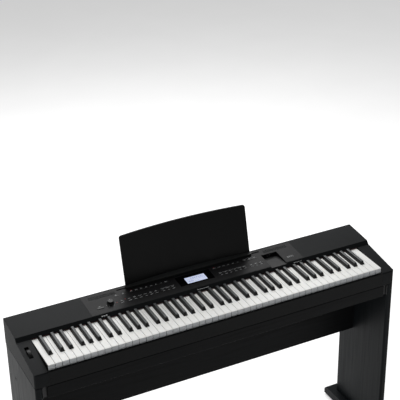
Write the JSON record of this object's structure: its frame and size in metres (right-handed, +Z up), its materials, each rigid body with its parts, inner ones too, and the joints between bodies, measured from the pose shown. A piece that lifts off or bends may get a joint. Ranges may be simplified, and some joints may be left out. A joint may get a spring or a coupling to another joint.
{
  "type": "digital piano on stand",
  "caption": "Digital piano with a full weighted keyboard, sloped control panel, display and lift-off music rest, on a panel-leg stand.",
  "frame": {"origin": "middle of the footprint at floor level, bounding box bottom centre", "axes": "+X along the keyboard towards the treble end, +Y from the player towards the rear, +Z up"},
  "size_m": [1.322, 0.334, 0.9539],
  "materials": {
    "stand": "dark wood-grain laminate",
    "rubber": "matte",
    "black_steel": "satin black powder coat",
    "screw_steel": "zinc plated",
    "case_grey": "fine-grained matte dark grey",
    "case_black": "matte",
    "panel_black": "fine hairline satin",
    "gloss_black": "polished",
    "felt_red": "felt",
    "speaker_grey": "satin",
    "circuit_green": "solder resist",
    "screen": "backlit pale blue, smooth",
    "action_grey": "zinc plated and painted",
    "key_white": "fine ivory-like grain, satin",
    "key_black": "streaked ebony-like grain, matte",
    "control_black": "satin"
  },
  "bodies": {
    "root": {"case_screws": "screw_steel", "clamp_screws": "black_steel", "contact_board": "circuit_green", "control_panel": "panel_black", "corner_brackets": "black_steel", "foot_glides": "rubber", "front_rail": "case_grey", "hammer_bank": "action_grey", "jack_panel": "case_black", "jacks": "case_black", "key_felt": "felt_red", "key_frame": "action_grey", "key_pivot_rod": "screw_steel", "lcd_bezel": "gloss_black", "lcd_display": "screen", "lower_case": "case_black", "main_board": "circuit_green", "panel_board": "circuit_green", "panel_grilles": "panel_black", "side_cap_left": "case_grey", "side_cap_right": "case_grey", "speaker_grilles": "black_steel", "speakers": "speaker_grey", "stand_bolts": "black_steel", "stand_foot_left": "stand", "stand_foot_right": "stand", "stand_front_board": "stand", "stand_leg_left": "stand", "stand_leg_right": "stand", "stand_rear_board": "stand", "stop_felts": "felt_red", "support_pads": "rubber", "top_cover": "case_grey", "usb_port": "screw_steel", "usb_recess": "case_black", "volume_pot": "speaker_grey", "wheel_axle": "screw_steel"},
    "key_group_a": {"keys_a": "key_white"},
    "key_group_a_sharp": {"keys_a_sharp": "key_black"},
    "key_group_b": {"keys_b": "key_white"},
    "key_group_c": {"keys_c": "key_white"},
    "key_group_c_sharp": {"keys_c_sharp": "key_black"},
    "key_group_d": {"keys_d": "key_white"},
    "key_group_d_sharp": {"keys_d_sharp": "key_black"},
    "key_group_e": {"keys_e": "key_white"},
    "key_group_f": {"keys_f": "key_white"},
    "key_group_f_sharp": {"keys_f_sharp": "key_black"},
    "key_group_g": {"keys_g": "key_white"},
    "key_group_g_sharp": {"keys_g_sharp": "key_black"},
    "buttons_rear_left_set": {"buttons_rear_left": "control_black"},
    "buttons_tone_set": {"buttons_tone": "control_black"},
    "buttons_front_left_set": {"buttons_front_left": "control_black"},
    "buttons_rhythm_set": {"buttons_rhythm": "control_black"},
    "buttons_rear_right_set": {"buttons_rear_right": "control_black"},
    "buttons_song_set": {"buttons_song": "control_black"},
    "buttons_front_right_set": {"buttons_front_right": "control_black"},
    "power_switch": {"power_button": "control_black"},
    "knob": {"volume_knob": "control_black"},
    "wheel": {"pitch_wheel": "control_black"},
    "music_stand": {"music_rest": "gloss_black"}
  },
  "joints": [
    {"name": "key_a", "type": "hinge", "parent": "root", "child": "key_group_a", "pos_m": [0, 0.07173, 0.742], "axis": [1, 0, 0], "range_deg": [0, 2.5], "stiffness_Nm_per_rad": 6, "springref_deg": -17.19},
    {"name": "key_a_sharp", "type": "hinge", "parent": "root", "child": "key_group_a_sharp", "pos_m": [0, 0.07173, 0.742], "axis": [1, 0, 0], "range_deg": [0, 2.5], "stiffness_Nm_per_rad": 6, "springref_deg": -17.19},
    {"name": "key_b", "type": "hinge", "parent": "root", "child": "key_group_b", "pos_m": [0, 0.07173, 0.742], "axis": [1, 0, 0], "range_deg": [0, 2.5], "stiffness_Nm_per_rad": 6, "springref_deg": -17.19},
    {"name": "key_c", "type": "hinge", "parent": "root", "child": "key_group_c", "pos_m": [0, 0.07173, 0.742], "axis": [1, 0, 0], "range_deg": [0, 2.5], "stiffness_Nm_per_rad": 6, "springref_deg": -17.19},
    {"name": "key_c_sharp", "type": "hinge", "parent": "root", "child": "key_group_c_sharp", "pos_m": [0, 0.07173, 0.742], "axis": [1, 0, 0], "range_deg": [0, 2.5], "stiffness_Nm_per_rad": 6, "springref_deg": -17.19},
    {"name": "key_d", "type": "hinge", "parent": "root", "child": "key_group_d", "pos_m": [0, 0.07173, 0.742], "axis": [1, 0, 0], "range_deg": [0, 2.5], "stiffness_Nm_per_rad": 6, "springref_deg": -17.19},
    {"name": "key_d_sharp", "type": "hinge", "parent": "root", "child": "key_group_d_sharp", "pos_m": [0, 0.07173, 0.742], "axis": [1, 0, 0], "range_deg": [0, 2.5], "stiffness_Nm_per_rad": 6, "springref_deg": -17.19},
    {"name": "key_e", "type": "hinge", "parent": "root", "child": "key_group_e", "pos_m": [0, 0.07173, 0.742], "axis": [1, 0, 0], "range_deg": [0, 2.5], "stiffness_Nm_per_rad": 6, "springref_deg": -17.19},
    {"name": "key_f", "type": "hinge", "parent": "root", "child": "key_group_f", "pos_m": [0, 0.07173, 0.742], "axis": [1, 0, 0], "range_deg": [0, 2.5], "stiffness_Nm_per_rad": 6, "springref_deg": -17.19},
    {"name": "key_f_sharp", "type": "hinge", "parent": "root", "child": "key_group_f_sharp", "pos_m": [0, 0.07173, 0.742], "axis": [1, 0, 0], "range_deg": [0, 2.5], "stiffness_Nm_per_rad": 6, "springref_deg": -17.19},
    {"name": "key_g", "type": "hinge", "parent": "root", "child": "key_group_g", "pos_m": [0, 0.07173, 0.742], "axis": [1, 0, 0], "range_deg": [0, 2.5], "stiffness_Nm_per_rad": 6, "springref_deg": -17.19},
    {"name": "key_g_sharp", "type": "hinge", "parent": "root", "child": "key_group_g_sharp", "pos_m": [0, 0.07173, 0.742], "axis": [1, 0, 0], "range_deg": [0, 2.5], "stiffness_Nm_per_rad": 6, "springref_deg": -17.19},
    {"name": "buttons_rear_left_press", "type": "slide", "parent": "root", "child": "buttons_rear_left_set", "axis": [0, -0.0829, 0.9966], "range_m": [-0.001, 0], "stiffness_N_per_m": 400, "springref_m": 0.002},
    {"name": "buttons_tone_press", "type": "slide", "parent": "root", "child": "buttons_tone_set", "axis": [0, -0.0829, 0.9966], "range_m": [-0.001, 0], "stiffness_N_per_m": 400, "springref_m": 0.002},
    {"name": "buttons_front_left_press", "type": "slide", "parent": "root", "child": "buttons_front_left_set", "axis": [0, -0.0829, 0.9966], "range_m": [-0.001, 0], "stiffness_N_per_m": 400, "springref_m": 0.002},
    {"name": "buttons_rhythm_press", "type": "slide", "parent": "root", "child": "buttons_rhythm_set", "axis": [0, -0.0829, 0.9966], "range_m": [-0.001, 0], "stiffness_N_per_m": 400, "springref_m": 0.002},
    {"name": "buttons_rear_right_press", "type": "slide", "parent": "root", "child": "buttons_rear_right_set", "axis": [0, -0.0829, 0.9966], "range_m": [-0.001, 0], "stiffness_N_per_m": 400, "springref_m": 0.002},
    {"name": "buttons_song_press", "type": "slide", "parent": "root", "child": "buttons_song_set", "axis": [0, -0.0829, 0.9966], "range_m": [-0.001, 0], "stiffness_N_per_m": 400, "springref_m": 0.002},
    {"name": "buttons_front_right_press", "type": "slide", "parent": "root", "child": "buttons_front_right_set", "axis": [0, -0.0829, 0.9966], "range_m": [-0.001, 0], "stiffness_N_per_m": 400, "springref_m": 0.002},
    {"name": "power_press", "type": "slide", "parent": "root", "child": "power_switch", "axis": [0, -0.0829, 0.9966], "range_m": [-0.0012, 0], "stiffness_N_per_m": 400, "springref_m": 0.002},
    {"name": "volume_turn", "type": "hinge", "parent": "root", "child": "knob", "pos_m": [-0.317, 0.05248, 0.77257], "axis": [0, -0.0829, 0.9966], "range_deg": [-150, 150]},
    {"name": "wheel_bend", "type": "hinge", "parent": "root", "child": "wheel", "pos_m": [-0.639, -0.05627, 0.73125], "axis": [1, 0, 0], "range_deg": [-35, 35], "stiffness_Nm_per_rad": 0.06},
    {"name": "music_rest_lift", "type": "slide", "parent": "root", "child": "music_stand", "axis": [0, -0.0829, 0.9966], "range_m": [0, 0.06]}
  ]
}
